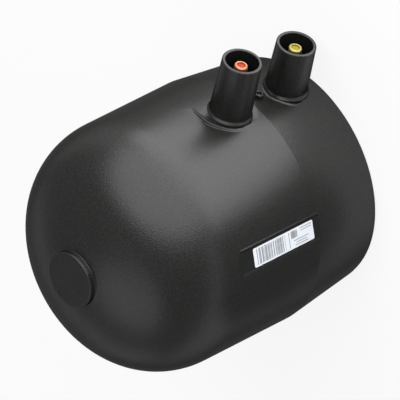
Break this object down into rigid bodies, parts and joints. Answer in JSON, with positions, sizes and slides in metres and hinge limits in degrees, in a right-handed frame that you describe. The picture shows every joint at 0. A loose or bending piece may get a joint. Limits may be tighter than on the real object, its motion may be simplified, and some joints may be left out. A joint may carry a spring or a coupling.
{
  "type": "electrofusion end cap",
  "caption": "Black electrofusion end cap for a polyethylene pipe: socket with heating coil, domed closed end and two shrouded terminal towers.",
  "frame": {"origin": "centre of the socket's mouth, in the plane of the mouth's face", "axes": "+Z along the socket's axis from the mouth towards the domed end; +X towards the terminal towers; the label is on the -Y side"},
  "size_m": [0.0955, 0.077, 0.0908],
  "materials": {
    "black_polyethylene": "satin moulded polyethylene",
    "resistance_wire": "drawn copper alloy wire",
    "copper_tone_brass": "turned, pale copper tone",
    "yellow_brass": "turned brass",
    "red_core": "moulded red plastic",
    "yellow_core": "dull olive brass",
    "indicator_polyethylene": "satin moulded polyethylene",
    "label_film": "white printed film"
  },
  "bodies": {
    "root": {"cap_body": "black_polyethylene", "heating_coil": "resistance_wire", "dome_terminal_pin": "copper_tone_brass", "mouth_terminal_pin": "yellow_brass", "red_core": "red_core", "yellow_core": "yellow_core", "indicator_pin": "indicator_polyethylene", "barcode_label": "label_film"}
  },
  "joints": []
}
